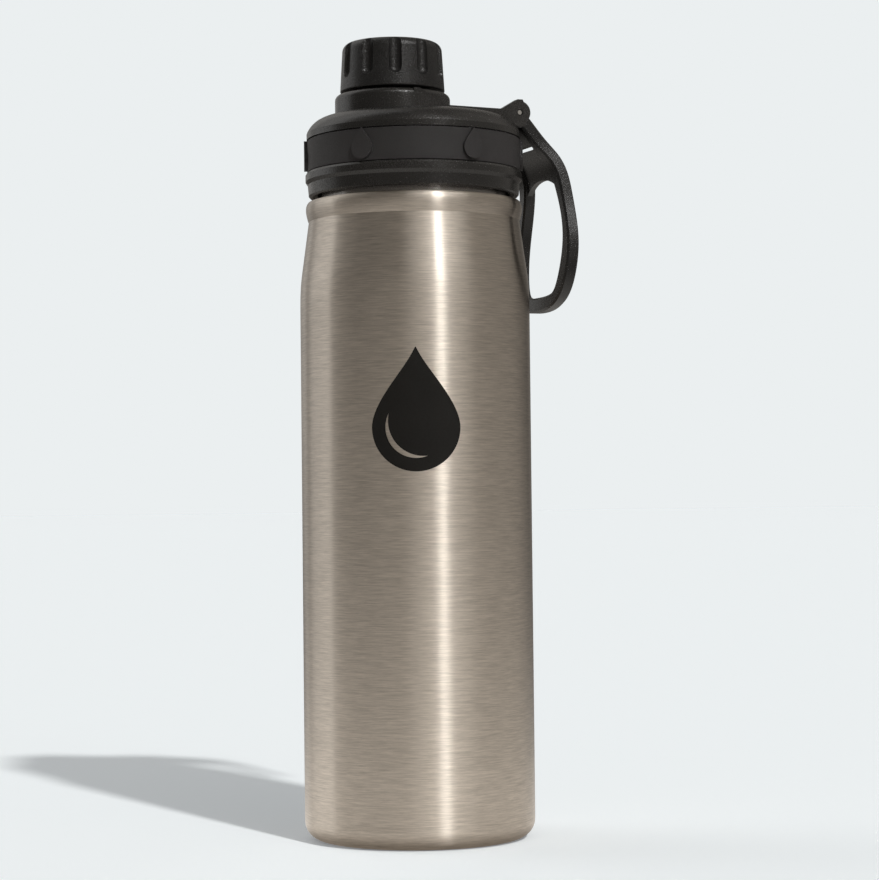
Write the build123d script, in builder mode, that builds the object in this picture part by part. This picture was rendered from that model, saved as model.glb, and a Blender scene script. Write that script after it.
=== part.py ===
from build123d import *
import os

# A slim double-wall steel drinking bottle with a screw lid, a chug spout under a small
# screw cap, and a carry loop hinged on the lid.
# Millimetres. Origin at the centre of the base, on the surface it stands on. +Z is up
# and +X points at the carry loop's hinge.

os.makedirs("parts", exist_ok=True)

# ---- driving dimensions -------------------------------------------------------------

# bottle
body_r = 36.5  # outer radius of the straight body
base_corner_r = 6.0
foot_ring_r = 27.0  # inner edge of the flat ring that the bottle stands on
shoulder_z = 168.0  # the straight body ends here
cone_r, cone_z = 35.95, 178.2  # and from here a straight cone runs up to the bead
waist_r, waist_z = 33.6, 195.3  # the crease under the bead
bead_low_r, bead_low_z = 34.1, 196.9
bead_r, bead_z = 34.45, 199.3
bead_top_r, bead_top_z = 33.2, 201.7
steel_wall = 0.5

# neck and inner vessel
neck_r = 29.4
neck_wall = 1.4
mouth_z = 219.5  # the rim of the mouth
shell_top_z = 202.3  # where the outer wall meets the neck
vessel_r = 33.2
vessel_floor_z = 8.0
vessel_shoulder_z = 172.0
neck_inner_r = neck_r - neck_wall  # outside of the inner vessel's own neck
foil_wall = 0.1  # the heat-reflecting foil

# screw threads: one ridge on each half, nested half a pitch apart
lid_lead, lid_thread_z, lid_ridge = 4.0, 206.4, 0.9
cap_lead, cap_thread_z, cap_ridge = 3.0, 239.1, 0.85
thread_play = 0.35

# lid
skirt_r, skirt_z = 33.5, 203.3
skirt_top_r, skirt_top_z = 33.8, 207.2
flange_r, flange_z = 34.5, 208.3
band_r, band_low_z, band_high_z = 33.9, 211.2, 221.4
shoulder_r, lid_shoulder_z = 34.05, 223.5
dome_mid_r, dome_mid_z = 32.0, 226.5
dome_edge_r, dome_edge_z = 27.2, 228.5
dome_top_z = 229.6
lid_bore_r = 32.0
lid_wall = 1.9
ceiling_low_z, ceiling_high_z = 221.6, 223.4
liner_r = lid_bore_r - 0.05
liner_bore_r = neck_r + 1.3
liner_ridge = liner_bore_r - neck_r - thread_play
plug_r = 27.0  # ring on the lid's inside that enters the mouth

# raised drops on the grip band
drop_count = 6
drop_first_deg = 40.5
drop_r, drop_tip = 3.5, 6.2
drop_proud_r = 34.9

# spout and its cap
spout_x = -7.0
spout_r, spout_bore_r = 11.7, 9.9
spout_foot_r = 15.0
spout_top_z = 247.6
pedestal_r, pedestal_z = 18.3, 235.6
spout_gap = 1.4  # between the spout and the hole it comes up through

cap_low_z, cap_high_z = 236.4, 252.1
cap_low_r, cap_high_r = 16.65, 15.7
cap_edge_r = 2.8
cap_bore_r = 13.9
cap_thread_r = spout_r + 1.25  # bore of the cap's threaded liner
cap_liner_ridge = cap_thread_r - spout_r - thread_play
cap_ceiling_z = 249.1
flute_count, flute_first_deg = 11, -108.0
flute_r, flute_depth, flute_low_z = 2.2, 1.5, 240.2

# hinge and carry loop
pin_x, pin_z, pin_r = 30.3, 229.9, 1.0
pin_play = 0.05
ear_in, ear_out = 13.0, 16.0  # how far each ear's two faces stand from the middle
ear_r = 3.6
ear_top = 4.1
arm_z = 230.7
barrel_r = 3.0
barrel_relief = 1.0  # room for the barrel and the loop's root in the lid's dome
loop_half = 2.05  # half the loop's thickness
web_half = 0.9
loop_bevel = 0.6
loop_rest_gap = 0.35  # between the hanging loop and the lid it rests on
loop_low_z = 167.3
window_top_z = 229.9


# ---- shared shapes ------------------------------------------------------------------


def finish(piece, name):
    """Label a finished piece and write its file."""
    piece.part.label = name
    export_step(piece.part, f"parts/{name}.step")


def ridge(radius, height, lead, low_z, turns, centre_x=0.0):
    """A screw thread's ridge: a trapezoid swept along a helix. Height is negative for
    a ridge that points inwards."""
    root = -0.25 if height > 0 else 0.25
    with BuildPart() as thread:
        with BuildLine() as path:
            Helix(pitch=lead, height=lead * turns, radius=radius, center=(centre_x, 0, low_z))
        start = Plane(origin=path.line @ 0, x_dir=(1, 0, 0), z_dir=path.line % 0)
        with BuildSketch(start):
            with BuildLine():
                Polyline(
                    (root, -0.3 * lead),
                    (height, -0.13 * lead),
                    (height, 0.13 * lead),
                    (root, 0.3 * lead),
                    close=True,
                )
            make_face()
        sweep(is_frenet=True)
    return thread.part


def ring(inner_r, outer_r, low_z, high_z):
    """A plain ring round the Z axis."""
    with BuildPart() as band:
        with BuildSketch(Plane.XY.offset(low_z)):
            Circle(outer_r)
            if inner_r:
                Circle(inner_r, mode=Mode.SUBTRACT)
        extrude(amount=high_z - low_z)
    return band.part


def dome_form(grow):
    """The space under the lid's domed top, grown outwards, to seat or clear what is on it."""
    edge_r, edge_z = shoulder_r + grow, lid_shoulder_z
    crown_r, crown_z = dome_edge_r + grow / 3, dome_edge_z + grow
    with BuildPart() as form:
        with BuildSketch(Plane.XZ):
            with BuildLine():
                Polyline((0, dome_top_z + grow), (0, skirt_z), (edge_r, skirt_z), (edge_r, edge_z))
                ThreePointArc(
                    (edge_r, edge_z),
                    (dome_mid_r + 0.7 * grow, dome_mid_z + 0.7 * grow),
                    (crown_r, crown_z),
                )
                Line((crown_r, crown_z), (0, dome_top_z + grow))
            make_face()
        revolve(axis=Axis.Z)
    return form.part


# ---- bottle -------------------------------------------------------------------------


def outer_form(inset):
    """The body's solid of revolution, drawn inwards by inset."""
    body, corner = body_r - inset, base_corner_r - inset
    with BuildPart() as form:
        with BuildSketch(Plane.XZ):
            with BuildLine():
                Polyline((0, inset), (body - corner, inset))
                RadiusArc((body - corner, inset), (body, base_corner_r), -corner)
                Line((body, base_corner_r), (body, shoulder_z))
                Spline(
                    (body, shoulder_z),
                    (cone_r - inset, cone_z),
                    tangents=[(0, 1), (waist_r - cone_r, waist_z - cone_z)],
                )
                Line((cone_r - inset, cone_z), (waist_r - inset, waist_z))
                Spline(
                    (waist_r - inset, waist_z),
                    (bead_low_r - inset, bead_low_z),
                    (bead_r - inset, bead_z),
                    (bead_top_r, bead_top_z - inset),
                    tangents=[(0.5, 1), (-1, 0.15)],
                )
                Polyline(
                    (bead_top_r, bead_top_z - inset),
                    (neck_r, shell_top_z - inset),
                    (0, shell_top_z - inset),
                    (0, inset),
                )
            make_face()
        revolve(axis=Axis.Z)
    return form.part


def vessel_form(inset):
    """The inner vessel's solid of revolution, drawn inwards by inset."""
    body, corner = vessel_r - inset, base_corner_r - inset
    floor, neck_low_z = vessel_floor_z + inset, shell_top_z - 4
    with BuildPart() as form:
        with BuildSketch(Plane.XZ):
            with BuildLine():
                Polyline((0, floor), (body - corner, floor))
                RadiusArc((body - corner, floor), (body, vessel_floor_z + base_corner_r), -corner)
                Line((body, vessel_floor_z + base_corner_r), (body, vessel_shoulder_z))
                Spline(
                    (body, vessel_shoulder_z),
                    (neck_inner_r - inset, neck_low_z),
                    tangents=[(0, 1), (0, 1)],
                )
                Polyline(
                    (neck_inner_r - inset, neck_low_z),
                    (neck_inner_r - inset, mouth_z),
                    (0, mouth_z),
                    (0, floor),
                )
            make_face()
        revolve(axis=Axis.Z)
    return form.part


with BuildPart() as outer_shell:
    add(outer_form(0))
    add(outer_form(steel_wall), mode=Mode.SUBTRACT)
    add(ring(0, foot_ring_r, -1, 2), mode=Mode.SUBTRACT)
    add(ring(0, neck_r, shell_top_z - 3, shell_top_z + 1), mode=Mode.SUBTRACT)
finish(outer_shell, "outer_shell")

with BuildPart() as inner_shell:
    add(vessel_form(0))
    add(vessel_form(steel_wall), mode=Mode.SUBTRACT)
finish(inner_shell, "inner_shell")

with BuildPart() as neck_collar:
    add(ring(neck_inner_r, neck_r, shell_top_z - 2.8, mouth_z))
    fillet(neck_collar.faces().sort_by(Axis.Z)[-1].outer_wire().edges(), 0.5)
    add(ridge(neck_r, lid_ridge, lid_lead, lid_thread_z, 1.8))
finish(neck_collar, "neck_collar")

with BuildPart() as radiation_foil:
    add(ring(vessel_r, vessel_r + foil_wall, vessel_floor_z + base_corner_r, vessel_shoulder_z - 4))
finish(radiation_foil, "radiation_foil")

# the structural bottom: a dished plate with a pump-out dimple in its middle
plate_z, dimple_z = 3.0, 4.6
cover_z, cover_wall = 1.4, 0.6
with BuildPart() as outer_base:
    with BuildSketch(Plane.XZ):
        with BuildLine():
            Polyline(
                (0.9, dimple_z),
                (5.0, dimple_z),
                (7.0, plate_z),
                (foot_ring_r - steel_wall, plate_z),
                (foot_ring_r - steel_wall, 0.3),
                (foot_ring_r, 0.3),
                (foot_ring_r, plate_z + steel_wall),
                (7.0, plate_z + steel_wall),
                (5.0, dimple_z + steel_wall),
                (0.9, dimple_z + steel_wall),
                close=True,
            )
        make_face()
    revolve(axis=Axis.Z)
finish(outer_base, "outer_base")

with BuildPart() as evacuation_seal:
    with BuildSketch(Plane.XY.offset(dimple_z - 0.7)):
        Circle(4.4)
    extrude(amount=0.7)
    fillet(evacuation_seal.faces().sort_by(Axis.Z)[0].edges(), 0.4)
finish(evacuation_seal, "evacuation_seal")

with BuildPart() as getter:
    with BuildSketch(Plane.XY.offset(vessel_floor_z - 1.8)):
        with Locations((14, 0)):
            Circle(4.0)
            Rectangle(14, 3)
    extrude(amount=1.8)
finish(getter, "getter")

with BuildPart() as base_cover:
    with BuildSketch(Plane.XY.offset(cover_z)):
        Circle(foot_ring_r - steel_wall - 0.2)
    extrude(amount=cover_wall)
    with BuildSketch(Plane.XY.offset(cover_z)):
        Circle(19.0)
        Circle(18.0, mode=Mode.SUBTRACT)
    extrude(amount=cover_wall / 3, mode=Mode.SUBTRACT)
    fillet(base_cover.faces().sort_by(Axis.Z)[0].outer_wire().edges(), cover_wall / 2)
finish(base_cover, "base_cover")

# ---- lid ----------------------------------------------------------------------------

with BuildPart() as mouth_gasket:
    add(ring(plug_r + 0.12, liner_bore_r - 0.2, mouth_z + 0.1, ceiling_low_z - 0.05))
    fillet(mouth_gasket.edges().filter_by(GeomType.CIRCLE), 0.4)
finish(mouth_gasket, "mouth_gasket")

with BuildPart() as lid_shell:
    with BuildSketch(Plane.XZ) as lid_profile:
        with BuildLine():
            Polyline(
                (lid_bore_r, skirt_z + 0.4),
                (lid_bore_r + 0.4, skirt_z),
                (skirt_r - 0.5, skirt_z),
                (skirt_r, skirt_z + 0.5),
                (skirt_top_r, skirt_top_z),
                (flange_r, flange_z),
                (flange_r, band_low_z - 0.9),
                (flange_r - 0.4, band_low_z - 0.2),
                (band_r - 0.9, band_low_z - 0.2),
                (band_r - 0.9, band_high_z + 0.2),
                (shoulder_r, band_high_z + 0.2),
                (shoulder_r, lid_shoulder_z),
            )
            ThreePointArc(
                (shoulder_r, lid_shoulder_z),
                (dome_mid_r, dome_mid_z),
                (dome_edge_r, dome_edge_z),
            )
            Polyline(
                (dome_edge_r, dome_edge_z),
                (0, dome_top_z),
                (0, dome_top_z - lid_wall),
                (dome_edge_r - 0.6, dome_edge_z - lid_wall),
                (29.0, 225.4),
                (lid_bore_r, lid_shoulder_z),
                (lid_bore_r, skirt_z + 0.4),
            )
        make_face()
    revolve(axis=Axis.Z)
    with BuildSketch(Plane.XY.offset(dome_edge_z - 6)):
        with Locations((spout_x, 0)):
            Circle(spout_r + spout_gap)
    extrude(amount=12, mode=Mode.SUBTRACT)
    with BuildSketch(Plane.XZ):
        with Locations((pin_x, pin_z)):
            Circle(barrel_r + barrel_relief)
    extrude(amount=ear_in + 0.2, both=True, mode=Mode.SUBTRACT)
finish(lid_shell, "lid_shell")

with BuildPart() as raised_drops:
    for k in range(drop_count):
        face = Plane.XY.rotated((0, 0, drop_first_deg + 360 / drop_count * k))
        side = Plane(
            origin=face.x_dir * (band_r - 0.7) + Vector(0, 0, 215.3),
            x_dir=face.y_dir,
            z_dir=face.x_dir,
        )
        with BuildSketch(side):
            Circle(drop_r)
            flank_x = drop_r * (1 - (drop_r / drop_tip) ** 2) ** 0.5
            flank_y = drop_r * drop_r / drop_tip
            Polygon((-flank_x, flank_y), (0, drop_tip), (flank_x, flank_y), (0, 0), align=None)
        extrude(amount=4)
    Cylinder(drop_proud_r, 600, mode=Mode.INTERSECT)

with BuildPart() as grip_band:
    add(ring(band_r - 0.9, band_r, band_low_z, band_high_z))
    fillet(grip_band.faces().sort_by(Axis.Z)[-1].outer_wire().edges(), 0.3)
    fillet(grip_band.faces().sort_by(Axis.Z)[0].outer_wire().edges(), 0.3)
    add(raised_drops.part)
finish(grip_band, "grip_band")

with BuildPart() as thread_liner:
    with BuildSketch(Plane.XZ):
        with BuildLine():
            Polyline(
                (liner_bore_r, skirt_z + 0.6),
                (liner_r, skirt_z + 0.6),
                (liner_r, ceiling_low_z),
                (liner_r - 2.6, ceiling_high_z),
                (0, ceiling_high_z),
                (0, ceiling_low_z),
                (plug_r - 1.0, ceiling_low_z),
                (plug_r - 1.0, mouth_z - 2),
                (plug_r - 0.3, mouth_z - 2),
                (plug_r, mouth_z - 1.4),
                (plug_r, ceiling_low_z),
                (liner_bore_r, ceiling_low_z),
                close=True,
            )
        make_face()
    revolve(axis=Axis.Z)
    with BuildSketch(Plane.XY.offset(ceiling_low_z)):
        with Locations((spout_x, 0)):
            Circle(spout_r + 0.05)
    extrude(amount=2, mode=Mode.SUBTRACT)
    add(ridge(liner_bore_r, -liner_ridge, lid_lead, lid_thread_z + lid_lead / 2, 1.5))
finish(thread_liner, "thread_liner")

groove_in, groove_out = spout_r + 1.0, spout_r + 2.2
with BuildPart() as spout_insert:
    with BuildSketch(Plane.XZ) as spout_profile:
        with BuildLine():
            Polyline(
                (spout_bore_r, ceiling_low_z),
                (spout_r, ceiling_low_z),
                (spout_r, ceiling_high_z + 0.05),
                (groove_in, ceiling_high_z + 0.05),
                (groove_in, ceiling_high_z + 0.9),
                (groove_out, ceiling_high_z + 0.9),
                (groove_out, ceiling_high_z + 0.05),
                (spout_foot_r, ceiling_high_z + 0.05),
                (spout_foot_r, ceiling_high_z + 1.6),
                (spout_r, ceiling_high_z + 1.6),
                (spout_r, spout_top_z),
                (spout_bore_r, spout_top_z),
                close=True,
            )
        make_face()
        fillet(spout_profile.vertices().group_by(Axis.Y)[-1], 0.8)
    revolve(axis=Axis.Z)
with BuildPart() as spout_whole:
    add(spout_insert.part.moved(Location((spout_x, 0, 0))))
    add(ridge(spout_r, cap_ridge, cap_lead, cap_thread_z, 1.6, spout_x))
finish(spout_whole, "spout_insert")

with BuildPart() as spout_oring:
    with BuildSketch(Plane.XZ):
        with Locations(((groove_in + groove_out) / 2, ceiling_high_z + 0.45)):
            Circle(0.42)
    revolve(axis=Axis.Z)
spout_oring_placed = spout_oring.part.moved(Location((spout_x, 0, 0)))
spout_oring_placed.label = "spout_oring"
export_step(spout_oring_placed, "parts/spout_oring.step")

# the collar round the spout, the arm over the lid and the two ears that hold the pin
with BuildPart() as handle_bridge:
    with BuildSketch(Plane.XY.offset(dome_edge_z - 3)):
        with Locations((spout_x, 0)):
            Circle(pedestal_r)
    extrude(amount=pedestal_z - dome_edge_z + 3)
    fillet(handle_bridge.faces().sort_by(Axis.Z)[-1].edges(), 1.8)
    with BuildPart(mode=Mode.PRIVATE) as arm:
        with BuildSketch(Plane.XY.offset(dome_edge_z - 3)):
            Polygon(
                (spout_x, -pedestal_r),
                (pin_x - barrel_r - barrel_relief, -ear_out),
                (pin_x - barrel_r - barrel_relief, ear_out),
                (spout_x, pedestal_r),
                align=None,
            )
        extrude(amount=pedestal_z - dome_edge_z + 3)
        with BuildSketch(Plane.XZ):
            Polygon(
                (spout_x + 2, pedestal_z),
                (spout_x + 2, pedestal_z + 5),
                (pin_x, pedestal_z + 5),
                (pin_x, arm_z),
                (4.3, arm_z),
                align=None,
            )
        extrude(amount=30, both=True, mode=Mode.SUBTRACT)
    add(arm.part)
    for side in (-1, 1):
        with BuildSketch(Plane.XZ.offset(-side * ear_in)):
            with Locations((pin_x, pin_z)):
                Circle(ear_r)
            Polygon(
                (pin_x - 6.4, arm_z),
                (pin_x - 0.8, pin_z + ear_top),
                (pin_x + 1.0, pin_z + ear_top),
                (pin_x + 3.2, pin_z - 1.6),
                (pin_x + 1.5, pin_z - 4.5),
                (pin_x - 4.6, pin_z - 4.2),
                (pin_x - 6.4, pin_z - 3),
                align=None,
            )
        extrude(amount=-side * (ear_out - ear_in))
    add(dome_form(0), mode=Mode.SUBTRACT)
    with BuildSketch(Plane.XY.offset(dome_edge_z - 3)):
        with Locations((spout_x, 0)):
            Circle(spout_r + spout_gap)
    extrude(amount=20, mode=Mode.SUBTRACT)
    with BuildSketch(Plane.XZ):
        with Locations((pin_x, pin_z)):
            Circle(pin_r)
    extrude(amount=ear_out, both=True, mode=Mode.SUBTRACT)
finish(handle_bridge, "handle_bridge")

with BuildPart() as hinge_pin:
    with BuildSketch(Plane.XZ):
        with Locations((pin_x, pin_z)):
            Circle(pin_r)
    extrude(amount=ear_out - 0.3, both=True)
    chamfer(hinge_pin.edges().filter_by(GeomType.CIRCLE), 0.3)
finish(hinge_pin, "hinge_pin")

# ---- spout cap ----------------------------------------------------------------------

with BuildPart() as cap_gasket:
    with BuildSketch(Plane.XY.offset(spout_top_z + 0.1)):
        with Locations((spout_x, 0)):
            Circle(12.7)
            Circle(9.2, mode=Mode.SUBTRACT)
    extrude(amount=cap_ceiling_z - spout_top_z - 0.15)
finish(cap_gasket, "cap_gasket")

with BuildPart() as cap_liner:
    with BuildSketch(Plane.XY.offset(cap_low_z + 0.3)):
        with Locations((spout_x, 0)):
            Circle(cap_bore_r - 0.05)
    extrude(amount=cap_ceiling_z + 1 - cap_low_z - 0.3)
    with BuildSketch(Plane.XY.offset(cap_low_z + 0.3)):
        with Locations((spout_x, 0)):
            Circle(cap_thread_r)
    extrude(amount=cap_ceiling_z - cap_low_z - 0.3, mode=Mode.SUBTRACT)
    add(ridge(cap_thread_r, -cap_liner_ridge, cap_lead, cap_thread_z + cap_lead / 2, 1.3, spout_x))
finish(cap_liner, "cap_liner")

taper = (cap_low_r - cap_high_r) / (cap_high_z - cap_low_z)
with BuildPart() as cap_shell:
    with BuildSketch(Plane.XZ) as cap_profile:
        with BuildLine():
            Polyline(
                (0, cap_high_z),
                (0, cap_ceiling_z + 1.05),
                (cap_bore_r, cap_ceiling_z + 1.05),
                (cap_bore_r, cap_low_z),
                (cap_low_r, cap_low_z),
                (cap_high_r, cap_high_z),
                close=True,
            )
        make_face()
        rim = cap_profile.vertices().sort_by(Axis.X)[-2:].sort_by(Axis.Y)
        fillet(rim[-1], cap_edge_r)
        fillet(cap_profile.vertices().sort_by(Axis.X)[-1], 0.5)
    revolve(axis=Axis.Z)
    for k in range(flute_count):
        spoke = Plane.XY.rotated((0, 0, flute_first_deg + 360 / flute_count * k))
        wall_r = cap_low_r - taper * (flute_low_z + flute_r - cap_low_z)
        foot = spoke.x_dir * (wall_r + flute_r - flute_depth) + Vector(0, 0, flute_low_z + flute_r)
        groove = Plane(origin=foot, x_dir=spoke.y_dir, z_dir=Vector(0, 0, 1) - spoke.x_dir * taper)
        with BuildSketch(groove):
            Circle(flute_r)
        extrude(amount=20, mode=Mode.SUBTRACT)
        with Locations(foot):
            Sphere(flute_r, mode=Mode.SUBTRACT)
cap_shell_placed = cap_shell.part.moved(Location((spout_x, 0, 0)))
cap_shell_placed.label = "cap_shell"
export_step(cap_shell_placed, "parts/cap_shell.step")

# ---- carry loop ---------------------------------------------------------------------

loop_line = [
    (pin_x, pin_z + 0.9),
    (33.9, 227.1),
    (39.3, 220.7),
    (44.0, 214.9),
    (46.2, 206.5),
    (46.5, 192.0),
    (45.4, 180.0),
    (44.2, 166.0),
]


def loop_plate(half):
    """The loop's side view, a band of even thickness, as wide as it can ever be."""
    steps = [k / 14 for k in range(15)]
    with BuildPart() as plate:
        with BuildSketch(Plane.XZ):
            with BuildLine():
                centre = Spline(*loop_line, mode=Mode.PRIVATE)
                outer, inner = (
                    [centre @ t + (centre % t).rotate(Axis.Z, turn) * half for t in steps]
                    for turn in (90, -90)
                )
                Spline(*outer)
                Spline(*inner)
                Line(outer[0], inner[0])
                Line(outer[-1], inner[-1])
            make_face()
        extrude(amount=30, both=True)
    return plate.part


def front_view(top_z, points):
    """A solid with the given front outline, for cutting a plate. The sides are straight down
    to the first point, and run on from there to the lowest point in the middle."""
    with BuildPart() as block:
        with BuildSketch(Plane.YZ.offset(20)):
            with BuildLine():
                crown = Polyline((0, top_z), (points[0][0], top_z), points[0])
                flank = Spline(*points, tangents=[(0, -1), (-1, 0)])
                mirror(crown, about=Plane.YZ)
                mirror(flank, about=Plane.YZ)
            make_face()
        extrude(amount=40)
    return block.part


loop_outline = front_view(
    236,
    [(12.7, 224.8), (14.5, 214.5), (17.5, 201), (21.2, 187), (18.8, 174.2), (0, loop_low_z)],
)
window_outline = front_view(
    window_top_z,
    [(9.4, 220), (9.9, 213), (13.0, 202.5), (16.3, 187), (14.2, 176.6), (0, 172.2)],
)
with BuildPart() as carry_loop:
    add(loop_plate(loop_half))
    add(loop_outline, mode=Mode.INTERSECT)
    add(window_outline, mode=Mode.SUBTRACT)
    chamfer(carry_loop.edges().filter_by(lambda edge: edge.length > 50), loop_bevel)
    with BuildPart(mode=Mode.PRIVATE) as web:
        add(loop_plate(web_half))
        add(window_outline, mode=Mode.INTERSECT)
        with BuildSketch(Plane.YZ.offset(20)):
            with Locations((0, 203.0)):
                Ellipse(13.4, 7.5)
                Rectangle(60, 60, align=(Align.CENTER, Align.MAX))
            with Locations((0, 220.3)):
                SlotOverall(14, 1.4)
        extrude(amount=40, mode=Mode.SUBTRACT)
    add(web.part)
    add(dome_form(loop_rest_gap), mode=Mode.SUBTRACT)
    with BuildSketch(Plane.XZ):
        with Locations((pin_x, pin_z)):
            Circle(barrel_r)
    extrude(amount=ear_in - 0.3, both=True)
    with BuildSketch(Plane.XZ):
        with Locations((pin_x, pin_z)):
            Circle(pin_r + pin_play)
    extrude(amount=ear_out, both=True, mode=Mode.SUBTRACT)
finish(carry_loop, "carry_loop")
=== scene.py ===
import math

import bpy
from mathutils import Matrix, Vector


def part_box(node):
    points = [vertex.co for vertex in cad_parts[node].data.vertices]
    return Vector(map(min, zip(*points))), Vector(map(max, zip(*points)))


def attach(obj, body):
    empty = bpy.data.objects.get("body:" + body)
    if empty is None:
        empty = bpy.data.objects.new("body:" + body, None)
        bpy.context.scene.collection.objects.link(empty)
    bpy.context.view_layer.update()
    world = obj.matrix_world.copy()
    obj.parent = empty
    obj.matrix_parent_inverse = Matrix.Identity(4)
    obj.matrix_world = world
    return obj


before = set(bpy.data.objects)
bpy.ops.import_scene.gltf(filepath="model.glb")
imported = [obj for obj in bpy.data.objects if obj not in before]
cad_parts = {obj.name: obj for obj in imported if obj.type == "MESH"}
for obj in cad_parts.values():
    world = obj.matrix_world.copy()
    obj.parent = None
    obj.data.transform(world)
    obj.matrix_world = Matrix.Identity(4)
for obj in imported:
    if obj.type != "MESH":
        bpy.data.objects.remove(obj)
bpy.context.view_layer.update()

# %% [markdown]
# # A slim steel drinking bottle
# The frame holds the real parts of the bottle at their real size: the steel walls, the lid,
# the spout with its small cap, and the carry loop on its hinge. This lesson gives them their
# surfaces, adds the small pieces that the frame leaves out, and sets up a plain studio.
# Everything is in metres, with the bottle standing on z = 0.

mm = 0.001
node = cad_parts


# %% [markdown]
# ## The camera
# A long lens from 0.8 m away keeps the bottle's sides almost parallel, as in a catalogue
# picture. The lens is a little below the middle of the bottle, so the lid is seen slightly
# from below. The carry loop's hinge is turned 22 degrees behind the right-hand side, which
# shows the loop from its edge and still leaves its opening in sight.

# %% Camera
hinge_turn = math.radians(-22)
camera_far, camera_high = 0.800, 0.1057
pan, tilt, roll = math.radians(-0.528), math.radians(1.446), math.radians(-0.60)
bpy.ops.object.camera_add()
camera = bpy.context.object
camera.name = "catalogue_camera"
camera.data.lens = 102.8
camera.data.sensor_width = 36
camera.data.clip_start = 0.05
stand = Matrix.Rotation(hinge_turn, 4, "Z")
aim = (
    Matrix.Rotation(pan, 4, "Z")
    @ Matrix.Rotation(math.pi / 2 + tilt, 4, "X")
    @ Matrix.Rotation(roll, 4, "Z")
)
camera.matrix_world = stand @ Matrix.Translation((0, -camera_far, camera_high)) @ aim
bpy.context.scene.camera = camera
print("camera stands at", [round(v, 3) for v in camera.matrix_world.translation])


# %% [markdown]
# ## The studio
# Brushed steel shows whatever stands round it, so the studio is built as a surrounding glow
# whose brightness changes with direction. Tall pale panels stand at the left and behind, the
# other walls are dimmer and change with height, and a narrow tall strip at the right draws
# the bright line down the body. Directions are counted from the camera, so the mapping is
# turned by the same angle as the camera.

# %% Helpers for nodes
def put(tree, kind, place=(0, 0), **settings):
    """Add one node to a tree and set its plain properties."""
    made = tree.nodes.new(kind)
    made.location = place
    for name, value in settings.items():
        setattr(made, name, value)
    return made


def math_node(tree, operation, first, second=None, place=(0, 0), clamp=False):
    """A Math node fed by sockets or plain numbers. Returns its output."""
    made = put(tree, "ShaderNodeMath", place, operation=operation, use_clamp=clamp)
    for slot_number, value in enumerate((first, second)):
        if value is None:
            continue
        if isinstance(value, (int, float)):
            made.inputs[slot_number].default_value = value
        else:
            tree.links.new(value, made.inputs[slot_number])
    return made.outputs[0]


def ramp(tree, factor, stops, place=(0, 0)):
    """A colour ramp of greys or colours. Stops are (position, grey or colour)."""
    made = put(tree, "ShaderNodeValToRGB", place)
    marks = made.color_ramp.elements
    while len(marks) > 1:
        marks.remove(marks[-1])
    for number, (position, shade) in enumerate(stops):
        mark = marks[0] if number == 0 else marks.new(position)
        mark.position = position
        mark.color = (*shade, 1) if isinstance(shade, tuple) else (shade, shade, shade, 1)
    tree.links.new(factor, made.inputs[0])
    return made.outputs[0]


# %% Which way a ray looks
bpy.context.scene.view_settings.view_transform = "Standard"
world = bpy.data.worlds.new("studio")
bpy.context.scene.world = world
world.use_nodes = True
web = world.node_tree
web.nodes.clear()
compass = put(web, "ShaderNodeTexCoord", (-1400, 0))
turned = put(web, "ShaderNodeMapping", (-1200, 0))
turned.inputs["Rotation"].default_value[2] = -hinge_turn
web.links.new(compass.outputs["Generated"], turned.inputs[0])
axes = put(web, "ShaderNodeSeparateXYZ", (-1000, 0))
web.links.new(turned.outputs[0], axes.inputs[0])
toward_camera = math_node(web, "MULTIPLY", axes.outputs[1], -1.0, (-800, -100))
bearing = math_node(web, "ARCTAN2", axes.outputs[0], toward_camera, (-600, 0))
around = math_node(web, "MULTIPLY_ADD", bearing, 1 / math.tau, (-400, 0))
around.node.inputs[2].default_value = 0.5
height = math_node(web, "MULTIPLY_ADD", axes.outputs[2], 0.5, (-400, -250))
height.node.inputs[2].default_value = 0.5


def at(degrees):
    """Where a bearing, counted from the camera towards the right, lies on the ramp."""
    return 0.5 + degrees / 360


print("the strip at 29 degrees lies at", round(at(29), 3), "on a bearing ramp")

# %% Panels and walls
low_panels = [
    (at(-180), 0.35),
    (at(-90), 0.20),
    (at(-60), 0.12),
    (at(-20), 0.22),
    (at(0), 0.32),
    (at(18), 0.52),
    (at(27), 0.60),
    (at(38), 0.56),
    (at(60), 0.40),
    (at(85), 0.34),
    (at(120), 0.38),
    (at(150), 0.12),
    (at(180), 0.35),
]
tall_panels = [
    (at(-180), 0.0),
    (at(-160), 0.20),
    (at(-148), 0.45),
    (at(-138), 0.12),
    (at(-128), 0.64),
    (at(-97), 0.82),
    (at(-92), 0.0),
    (at(18.0), 0.0),
    (at(25.0), 0.15),
    (at(27.8), 0.9),
    (at(30.0), 0.9),
    (at(33.0), 0.15),
    (at(39.0), 0.0),
    (at(180), 0.0),
]
walls = [(0.0, 1.0), (0.52, 1.0), (0.58, 0.6), (0.65, 0.55), (0.77, 1.1), (0.93, 1.0), (1.0, 0.5)]
dimmed = put(web, "ShaderNodeVectorMath", (50, 0), operation="MULTIPLY")
web.links.new(ramp(web, around, low_panels, (-200, 250)), dimmed.inputs[0])
web.links.new(ramp(web, height, walls, (-200, -250)), dimmed.inputs[1])
warmed = put(web, "ShaderNodeVectorMath", (200, 0), operation="MULTIPLY")
warmed.inputs[1].default_value = (1.0, 0.94, 0.86)
web.links.new(dimmed.outputs[0], warmed.inputs[0])
glow = put(web, "ShaderNodeVectorMath", (350, 0), operation="ADD")
web.links.new(warmed.outputs[0], glow.inputs[0])
web.links.new(ramp(web, around, tall_panels, (-200, 0)), glow.inputs[1])
print("panels:", len(low_panels), "low stops and", len(tall_panels), "tall stops")

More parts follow.
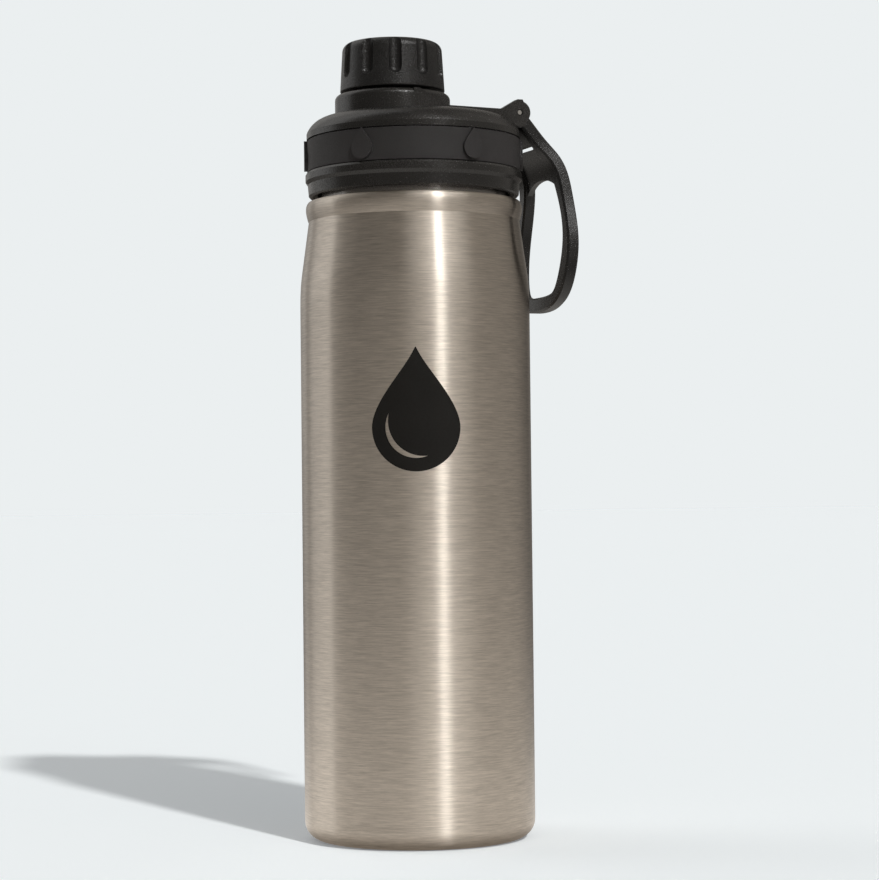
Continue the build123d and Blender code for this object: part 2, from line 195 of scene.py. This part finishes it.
# %% [markdown]
# ## The lamps
# One lamp stands at the right, above the bottle, and has two parts. A sun lamp gives the
# shadow that falls to the back left. The steel would mirror a sun as a hard white band, so
# the sun is hidden from glossy surfaces, and they mirror a long soft lamp instead. It hangs
# in the same direction, is brightest at its middle and fades to both sides. Behind all of
# it, the camera sees plain paper.

# %% The long lamp that glossy surfaces mirror
lamp_across = [
    (at(-15), 0.0),
    (at(5), 2.8),
    (at(24), 5.5),
    (at(27.9), 34.0),
    (at(30.3), 34.0),
    (at(34.0), 5.5),
    (at(55), 2.8),
    (at(75), 0.0),
]
lamp_up = [(0.775, 0.0), (0.80, 1.0), (0.84, 1.0), (0.865, 0.0)]
sight = put(web, "ShaderNodeLightPath", (350, 350))
lamp = put(web, "ShaderNodeVectorMath", (50, 500), operation="MULTIPLY")
web.links.new(ramp(web, around, lamp_across, (-200, 500)), lamp.inputs[0])
web.links.new(ramp(web, height, lamp_up, (-200, 750)), lamp.inputs[1])
mirrored_lamp = put(web, "ShaderNodeVectorMath", (550, 500), operation="SCALE")
web.links.new(lamp.outputs[0], mirrored_lamp.inputs[0])
web.links.new(sight.outputs["Is Glossy Ray"], mirrored_lamp.inputs["Scale"])
lit = put(web, "ShaderNodeVectorMath", (650, 200), operation="ADD")
web.links.new(glow.outputs[0], lit.inputs[0])
web.links.new(mirrored_lamp.outputs[0], lit.inputs[1])
print("the long lamp is", max(shade for _, shade in lamp_across), "bright at its middle")

# %% Paper behind the bottle
paper = (0.831, 0.863, 0.871)
surroundings = put(web, "ShaderNodeBackground", (750, 0))
web.links.new(lit.outputs[0], surroundings.inputs["Color"])
backdrop = put(web, "ShaderNodeBackground", (750, -150))
backdrop.inputs["Color"].default_value = (*paper, 1)
chosen = put(web, "ShaderNodeMixShader", (950, 0))
web.links.new(sight.outputs["Is Camera Ray"], chosen.inputs[0])
web.links.new(surroundings.outputs[0], chosen.inputs[1])
web.links.new(backdrop.outputs[0], chosen.inputs[2])
sky = put(web, "ShaderNodeOutputWorld", (1150, 0))
web.links.new(chosen.outputs[0], sky.inputs[0])
print("world has", len(web.nodes), "nodes")

# %% The key light
key_bearing, key_height = math.radians(29.5), math.radians(39.4)
bpy.ops.object.light_add(type="SUN")
key = bpy.context.object
key.name = "key_light"
key.data.energy = 2.0
key.data.angle = math.radians(3)
key.visible_glossy = False
key.rotation_euler = (math.pi / 2 - key_height, 0, hinge_turn + key_bearing)
print("key light", round(math.degrees(key_height)), "degrees up")

# %% [markdown]
# ## The floor
# The floor is a white sheet that runs on past the horizon. To the eye, part of its
# brightness is a glow of its own, so that it meets the backdrop without a line, and the rest
# is light that the bottle can shade. What the steel mirrors is a painted pool of light that
# fades away from the bottle, so the low part of the body is paler than the high part. Its
# dark middle is a painted contact shadow under the base, which the steel's foot mirrors as a dark
# edge.

# %% Floor
bpy.ops.mesh.primitive_plane_add(size=60)
floor = bpy.context.object
floor.name = "studio_floor"
floor_finish = bpy.data.materials.new("paper_floor")
floor_finish.use_nodes = True
paper_tree = floor_finish.node_tree
sheet = paper_tree.nodes["Principled BSDF"]
sheet.inputs["Base Color"].default_value = (0.916, 0.950, 0.953, 1)
sheet.inputs["Roughness"].default_value = 1.0
sheet.inputs["Specular IOR Level"].default_value = 0.0
sheet.inputs["Emission Color"].default_value = (0.620, 0.747, 0.905, 1)
sheet.inputs["Emission Strength"].default_value = 0.17
ground = put(paper_tree, "ShaderNodeTexCoord", (-900, -200))
away = put(paper_tree, "ShaderNodeVectorMath", (-700, -200), operation="LENGTH")
paper_tree.links.new(ground.outputs["Object"], away.inputs[0])
# Painted light for mirrors only: a glow that fades away from the bottle, with a painted contact shadow
# in its dark middle under the base.
painted_pool_and_contact_shadow = ramp(
    paper_tree,
    away.outputs["Value"],
    [
        (0.0, (0.20, 0.18, 0.16)),
        (0.035, (0.25, 0.22, 0.19)),
        (0.05, (1.02, 0.97, 0.91)),
        (0.10, (0.93, 0.89, 0.84)),
        (0.25, (0.62, 0.59, 0.55)),
        (0.5, (0.34, 0.32, 0.30)),
        (1.0, (0.12, 0.11, 0.10)),
    ],
    (-500, -200),
)
mirrored = put(paper_tree, "ShaderNodeEmission", (-200, -200))
paper_tree.links.new(painted_pool_and_contact_shadow, mirrored.inputs["Color"])
looked_at = put(paper_tree, "ShaderNodeLightPath", (-200, 300))
either = put(paper_tree, "ShaderNodeMixShader", (300, 0))
paper_tree.links.new(looked_at.outputs["Is Camera Ray"], either.inputs[0])
paper_tree.links.new(mirrored.outputs[0], either.inputs[1])
paper_tree.links.new(sheet.outputs[0], either.inputs[2])
paper_tree.links.new(either.outputs[0], paper_tree.nodes["Material Output"].inputs[0])
floor.data.materials.append(floor_finish)
print("floor is", round(floor.dimensions.x), "m wide")

# %% [markdown]
# ## Grain, speckle and wear
# Three effects are shared by several finishes, so each is a node group with its own values
# in every material. Brushing is noise squeezed flat, so that it runs round the bottle as the
# lines of an abrasive belt do. Speckle is the fine spark texture of a plastic mould. Wear
# lightens the edges and corners that hands and tables rub.


# %% Helpers for node groups
def new_group(name, inputs, outputs):
    """An empty shader group with named sockets. Returns the tree, its input and its output node."""
    tree = bpy.data.node_groups.new(name, "ShaderNodeTree")
    for label, kind, value in inputs:
        made = tree.interface.new_socket(name=label, in_out="INPUT", socket_type=kind)
        made.default_value = value
    for label, kind in outputs:
        tree.interface.new_socket(name=label, in_out="OUTPUT", socket_type=kind)
    source = put(tree, "NodeGroupInput", (-900, 0))
    result = put(tree, "NodeGroupOutput", (700, 0))
    return tree, source, result


NUMBER = "NodeSocketFloat"

# %% Brushed grain
brushing, come_in, go_out = new_group(
    "brushed_grain",
    [("Lines per metre", NUMBER, 3000.0), ("Streaks per metre", NUMBER, 150.0)],
    [("Lines", NUMBER), ("Clouds", NUMBER)],
)
where = put(brushing, "ShaderNodeTexCoord", (-900, 250))
squeeze = put(brushing, "ShaderNodeCombineXYZ", (-700, 0))
for axis, label in enumerate(("Streaks per metre", "Streaks per metre", "Lines per metre")):
    brushing.links.new(come_in.outputs[label], squeeze.inputs[axis])
stretched = put(brushing, "ShaderNodeVectorMath", (-500, 100), operation="MULTIPLY")
brushing.links.new(where.outputs["Object"], stretched.inputs[0])
brushing.links.new(squeeze.outputs[0], stretched.inputs[1])
fine = put(brushing, "ShaderNodeTexNoise", (-300, 150))
fine.inputs["Scale"].default_value = 1.0
fine.inputs["Detail"].default_value = 4.0
fine.inputs["Roughness"].default_value = 0.7
brushing.links.new(stretched.outputs[0], fine.inputs["Vector"])
brushing.links.new(fine.outputs["Fac"], go_out.inputs["Lines"])
slow = put(brushing, "ShaderNodeVectorMath", (-500, -150), operation="MULTIPLY")
slow.inputs[1].default_value = (9, 9, 70)
brushing.links.new(where.outputs["Object"], slow.inputs[0])
clouds = put(brushing, "ShaderNodeTexNoise", (-300, -150))
clouds.inputs["Scale"].default_value = 1.0
clouds.inputs["Detail"].default_value = 3.0
brushing.links.new(slow.outputs[0], clouds.inputs["Vector"])
brushing.links.new(clouds.outputs["Fac"], go_out.inputs["Clouds"])
print("brushed grain:", len(brushing.nodes), "nodes")

# %% Mould speckle
speckle, come_in, go_out = new_group(
    "mould_speckle",
    [("Grain size mm", NUMBER, 0.25)],
    [("Grain", NUMBER), ("Patches", NUMBER)],
)
where = put(speckle, "ShaderNodeTexCoord", (-900, 250))
finer = math_node(speckle, "DIVIDE", 1000.0, come_in.outputs[0], (-600, 0))
grain = put(speckle, "ShaderNodeTexNoise", (-300, 150))
grain.inputs["Detail"].default_value = 2.0
grain.inputs["Roughness"].default_value = 0.6
speckle.links.new(where.outputs["Object"], grain.inputs["Vector"])
speckle.links.new(finer, grain.inputs["Scale"])
speckle.links.new(grain.outputs["Fac"], go_out.inputs["Grain"])
patches = put(speckle, "ShaderNodeTexNoise", (-300, -150))
patches.inputs["Scale"].default_value = 55.0
patches.inputs["Detail"].default_value = 3.0
speckle.links.new(where.outputs["Object"], patches.inputs["Vector"])
speckle.links.new(patches.outputs["Fac"], go_out.inputs["Patches"])
print("mould speckle:", len(speckle.nodes), "nodes")

# %% Edge wear
wear, come_in, go_out = new_group(
    "edge_wear",
    [("Amount", NUMBER, 0.5)],
    [("Worn", NUMBER)],
)
shape = put(wear, "ShaderNodeNewGeometry", (-900, 250))
crest = put(wear, "ShaderNodeMapRange", (-600, 200))
crest.inputs["From Min"].default_value = 0.52
crest.inputs["From Max"].default_value = 0.62
wear.links.new(shape.outputs["Pointiness"], crest.inputs["Value"])
where = put(wear, "ShaderNodeTexCoord", (-900, -50))
rubbed = put(wear, "ShaderNodeTexNoise", (-600, -100))
rubbed.inputs["Scale"].default_value = 240.0
rubbed.inputs["Detail"].default_value = 4.0
wear.links.new(where.outputs["Object"], rubbed.inputs["Vector"])
broken = math_node(wear, "MULTIPLY", crest.outputs[0], rubbed.outputs["Fac"], (-300, 100))
scaled = math_node(wear, "MULTIPLY", broken, come_in.outputs[0], (0, 50), clamp=True)
wear.links.new(scaled, go_out.inputs[0])
print("edge wear:", len(wear.nodes), "nodes")


# %% [markdown]
# ## Finishes
# Each finish is one material with a Principled shader. What is even all over, such as how
# metallic it is, is set on the shader itself, and only what changes over the surface comes
# in through nodes.


# %% Helper for materials
def new_material(name, **even):
    """A material with its even values set on the shader. Returns the material, tree and shader."""
    made = bpy.data.materials.new(name)
    made.use_nodes = True
    tree = made.node_tree
    shader = tree.nodes["Principled BSDF"]
    for label, value in even.items():
        shader.inputs[label.replace("_", " ")].default_value = value
    return made, tree, shader


def group_node(tree, group, place=(0, 0), **values):
    """Place a node group in a material with its own values."""
    made = put(tree, "ShaderNodeGroup", place)
    made.node_tree = group
    for label, value in values.items():
        made.inputs[label.replace("_", " ")].default_value = value
    return made


def bumped(tree, shader, height, depth_mm, place=(-200, -400)):
    """Feed a height into the shader's normal through a Bump node."""
    bump = put(tree, "ShaderNodeBump", place)
    bump.inputs["Strength"].default_value = 1.0
    bump.inputs["Distance"].default_value = depth_mm * mm
    tree.links.new(height, bump.inputs["Height"])
    tree.links.new(bump.outputs[0], shader.inputs["Normal"])


# %% [markdown]
# ## Steel
# The wall of a bottle like this is stainless steel, brushed on a turning spindle, so each
# scratch runs round the axis and a lamp smears into an upright line. A picture of scratches
# would do, but it has one size and one seam. Here the grain is noise on the object's own
# coordinates, and an anisotropic Principled shader with a tangent round z does the smearing.
# The inner wall and the collar are only drawn, not brushed, so they are greyer and smoother.

# %% Brushed steel
def brushed_steel(name, dark, light, rough, lines, bump_mm):
    """Steel brushed round the axis: streaked in colour, roughness and height."""
    made, tree, shader = new_material(name, Metallic=1.0, Anisotropic=1.0, Anisotropic_Rotation=0.25)
    brushed = group_node(tree, brushing, (-900, 0), Lines_per_metre=lines)
    tint = ramp(tree, brushed.outputs["Lines"], [(0.30, dark), (0.70, light)], (-600, 200))
    tree.links.new(tint, shader.inputs["Base Color"])
    low, high = rough
    smooth = ramp(tree, brushed.outputs["Clouds"], [(0.3, low), (0.7, high)], (-600, -50))
    tree.links.new(smooth, shader.inputs["Roughness"])
    turn = put(tree, "ShaderNodeTangent", (-400, -250), direction_type="RADIAL", axis="Z")
    tree.links.new(turn.outputs[0], shader.inputs["Tangent"])
    bumped(tree, shader, brushed.outputs["Lines"], bump_mm)
    return made


steel = brushed_steel(
    "brushed_steel", (0.50, 0.452, 0.395), (0.77, 0.696, 0.61), (0.33, 0.37), 3000, 0.0012
)
drawn_steel = brushed_steel(
    "drawn_steel", (0.55, 0.53, 0.51), (0.62, 0.60, 0.58), (0.24, 0.30), 900, 0.0005
)
print("steels:", steel.name, "and", drawn_steel.name)


# %% [markdown]
# ## Plastics and rubber
# The lid, cap and loop are moulded plastic from spark-textured moulds, and the band is a
# softer rubber. All of them are near black, so what tells them apart is gloss, not colour.
# One helper makes them all: it scatters the roughness with fine grain, lets the tone drift
# a little, and shows a paler edge where hands rub. The band is given the highest roughness.

# %% Moulded plastics and rubber
def moulded(name, tone, rough, grain_mm, bump_mm, gloss, worn=0.5):
    """A moulded black: speckled, faintly patchy, and paler where edges are rubbed."""
    made, tree, shader = new_material(name, Specular_IOR_Level=gloss)
    texture = group_node(tree, speckle, (-900, 0), Grain_size_mm=grain_mm)
    rubbed_edge = group_node(tree, wear, (-900, -250), Amount=worn)
    deep = tuple(0.8 * part for part in tone)
    pale = tuple(1.25 * part for part in tone)
    base = ramp(tree, texture.outputs["Patches"], [(0.3, deep), (0.7, pale)], (-650, 250))
    mix = put(tree, "ShaderNodeMix", (-350, 200), data_type="RGBA")
    tree.links.new(rubbed_edge.outputs[0], mix.inputs["Factor"])
    tree.links.new(base, mix.inputs["A"])
    mix.inputs["B"].default_value = (*(min(1.0, 3.2 * part) for part in tone), 1)
    tree.links.new(mix.outputs["Result"], shader.inputs["Base Color"])
    low, high = rough
    smooth = ramp(tree, texture.outputs["Grain"], [(0.35, low), (0.65, high)], (-650, -50))
    tree.links.new(smooth, shader.inputs["Roughness"])
    bumped(tree, shader, texture.outputs["Grain"], bump_mm)
    return made


lid_black = moulded("lid_black", (0.0145, 0.0137, 0.0128), (0.20, 0.34), 0.45, 0.03, 0.55)
cap_black = moulded("cap_black", (0.0105, 0.0102, 0.010), (0.22, 0.46), 0.35, 0.07, 0.55)
loop_black = moulded("loop_black", (0.0105, 0.0102, 0.010), (0.22, 0.36), 0.50, 0.03, 0.55)
grip_black = moulded("grip_black", (0.0245, 0.0232, 0.0235), (0.50, 0.66), 0.35, 0.015, 0.45, worn=0.2)
liner_black = moulded("liner_black", (0.028, 0.028, 0.028), (0.40, 0.5), 0.60, 0.01, 0.5)
silicone = moulded("silicone_grey", (0.40, 0.41, 0.40), (0.45, 0.6), 0.8, 0.01, 0.4, worn=0.1)
blacks = (lid_black, cap_black, loop_black, grip_black, liner_black)
print("blacks:", ", ".join(black.name for black in blacks))


# %% [markdown]
# ## What the walls hide
# A vacuum bottle keeps a copper foil, a getter and a bead of solder glass between its walls,
# and a ground pin holds the loop. They show only in a cut model or a pulled-out pin, so one
# plain metal with faint handling marks is enough for them.

# %% Metals and glass that the walls hide
def plain_metal(name, tone, rough):
    """A metal with faint handling marks."""
    made, tree, shader = new_material(name, Metallic=1.0)
    texture = group_node(tree, speckle, (-700, 0), Grain_size_mm=0.6)
    deep = tuple(0.85 * part for part in tone)
    base = ramp(tree, texture.outputs["Patches"], [(0.35, deep), (0.65, tone)], (-450, 150))
    tree.links.new(base, shader.inputs["Base Color"])
    low, high = rough
    smooth = ramp(tree, texture.outputs["Grain"], [(0.3, low), (0.7, high)], (-450, -100))
    tree.links.new(smooth, shader.inputs["Roughness"])
    return made


pin_steel = plain_metal("ground_pin_steel", (0.80, 0.79, 0.77), (0.12, 0.22))
copper = plain_metal("copper_foil", (0.80, 0.47, 0.32), (0.15, 0.30))
getter_grey = plain_metal("getter_metal", (0.28, 0.28, 0.29), (0.55, 0.75))
seal_glass = moulded("solder_glass", (0.10, 0.11, 0.105), (0.08, 0.15), 1.0, 0.004, 0.6, worn=0.0)
print("materials so far:", len(bpy.data.materials))

# %% [markdown]
# ## Who wears what
# The frame's parts keep their shapes and only get a material in their slots. A table from
# part to finish is easier to read and to check than a line for each part.

# %% Give each part of the frame its finish
finishes = {
    "outer_shell": steel,
    "base_cover": steel,
    "inner_shell": drawn_steel,
    "neck_collar": drawn_steel,
    "outer_base": drawn_steel,
    "radiation_foil": copper,
    "evacuation_seal": seal_glass,
    "getter": getter_grey,
    "mouth_gasket": silicone,
    "spout_oring": silicone,
    "cap_gasket": silicone,
    "lid_shell": lid_black,
    "handle_bridge": lid_black,
    "grip_band": grip_black,
    "thread_liner": liner_black,
    "spout_insert": liner_black,
    "cap_liner": liner_black,
    "cap_shell": cap_black,
    "hinge_pin": pin_steel,
    "carry_loop": loop_black,
}
for name, finish in finishes.items():
    slots = node[name].data.materials
    slots.clear()
    slots.append(finish)
print("finished", len(finishes), "of", len(node), "parts")

# %% [markdown]
# ## The print on the body
# The front of the body carries a screen print, a plain drop of water in matt black ink. Ink
# is a film, far thinner than the wall, but a picture laid on the steel would lose its edge
# when the model is exported. So the drop is a real skin: a thin tube of ink round the body,
# kept only where a drop-shaped punch passes through it. The gleam inside the drop is a
# crescent, one disc with another bitten out of it, and is taken away from the same skin.

# %% The tube of ink
body_low, body_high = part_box("outer_shell")
body_r = (body_high.x - body_low.x) / 2
print_z, print_turn = 0.132, hinge_turn
print_band = 50 * mm
ink_film = 0.06 * mm
ink_depth = 0.8 * ink_film


def only(thing):
    """Select one object, and make it the active one."""
    bpy.ops.object.select_all(action="DESELECT")
    thing.select_set(True)
    bpy.context.view_layer.objects.active = thing


def apply_all(thing):
    """Apply the modifiers of a piece in order."""
    only(thing)
    for modifier in list(thing.modifiers):
        bpy.ops.object.modifier_apply(modifier=modifier.name)


bpy.ops.object.select_all(action="DESELECT")
bpy.ops.mesh.primitive_cylinder_add(
    vertices=720,
    radius=body_r + ink_film,
    depth=print_band,
    end_fill_type="NOTHING",
    location=(0, 0, print_z),
)
drop_mark = bpy.context.object
drop_mark.name = "drop_mark"
bpy.ops.object.transform_apply(location=True, rotation=True, scale=True)
film = drop_mark.modifiers.new("film", "SOLIDIFY")
film.thickness = ink_depth
film.offset = -1
apply_all(drop_mark)
print("ink tube radius in mm:", round((body_r + ink_film) / mm, 2))

# %% The punch
drop_r, drop_rise, drop_z = 13.5 * mm, 11 * mm, print_z - 3 * mm
narrowing = 0.88
bpy.ops.object.select_all(action="DESELECT")
bpy.ops.mesh.primitive_circle_add(vertices=128, radius=drop_r, fill_type="NGON")
punch = bpy.context.object
punch.name = "drop_punch"
bpy.ops.object.mode_set(mode="EDIT")
bpy.ops.mesh.extrude_region_move(TRANSFORM_OT_translate={"value": (0, 0, 30 * mm)})
bpy.ops.object.mode_set(mode="OBJECT")
for corner in punch.data.vertices:
    lift = max(0.0, corner.co.y / drop_r)
    corner.co.x *= 1 - narrowing * lift**2.2
    corner.co.y += drop_rise * lift**1.6
punch.matrix_world = (
    Matrix.Rotation(print_turn, 4, "Z")
    @ Matrix.Translation((0, -20 * mm, drop_z))
    @ Matrix.Rotation(math.pi / 2, 4, "X")
)
print("the drop is", round(2 * drop_r / mm), "mm wide")

# %% The gleam
gleam_r, bite_r = 9.4 * mm, 10.8 * mm
bite_shift = (2.2 * mm, 2.0 * mm, 0)
bpy.ops.object.select_all(action="DESELECT")
bpy.ops.mesh.primitive_cylinder_add(vertices=128, radius=gleam_r, depth=20 * mm)
gleam = bpy.context.object
gleam.name = "drop_gleam"
bpy.ops.object.select_all(action="DESELECT")
bpy.ops.mesh.primitive_cylinder_add(
    vertices=128, radius=bite_r, depth=30 * mm, location=bite_shift
)
bite = bpy.context.object
crescent = gleam.modifiers.new("crescent", "BOOLEAN")
crescent.operation = "DIFFERENCE"
crescent.solver = "EXACT"
crescent.object = bite
apply_all(gleam)
bpy.data.objects.remove(bite)
gleam.matrix_world = (
    Matrix.Rotation(print_turn, 4, "Z")
    @ Matrix.Translation((0, -body_r, drop_z))
    @ Matrix.Rotation(math.pi / 2, 4, "X")
)
print("the gleam is", round(2 * gleam_r / mm, 1), "mm across before the bite")

# %% Cut the drop out of the tube
for cutter, how in ((punch, "INTERSECT"), (gleam, "DIFFERENCE")):
    cut = drop_mark.modifiers.new(how.lower(), "BOOLEAN")
    cut.operation = how
    cut.solver = "EXACT"
    cut.object = cutter
apply_all(drop_mark)
for cutter in (punch, gleam):
    bpy.data.objects.remove(cutter)
only(drop_mark)
bpy.ops.object.shade_flat()
print("drop print has", len(drop_mark.data.polygons), "faces")

# %% Ink, and where the print rides
ink = moulded("matt_ink", (0.0068, 0.0062, 0.0054), (0.50, 0.62), 0.6, 0.004, 0.25, worn=0.0)
drop_mark.data.materials.append(ink)
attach(drop_mark, "bottle")
print("the print rides the bottle")
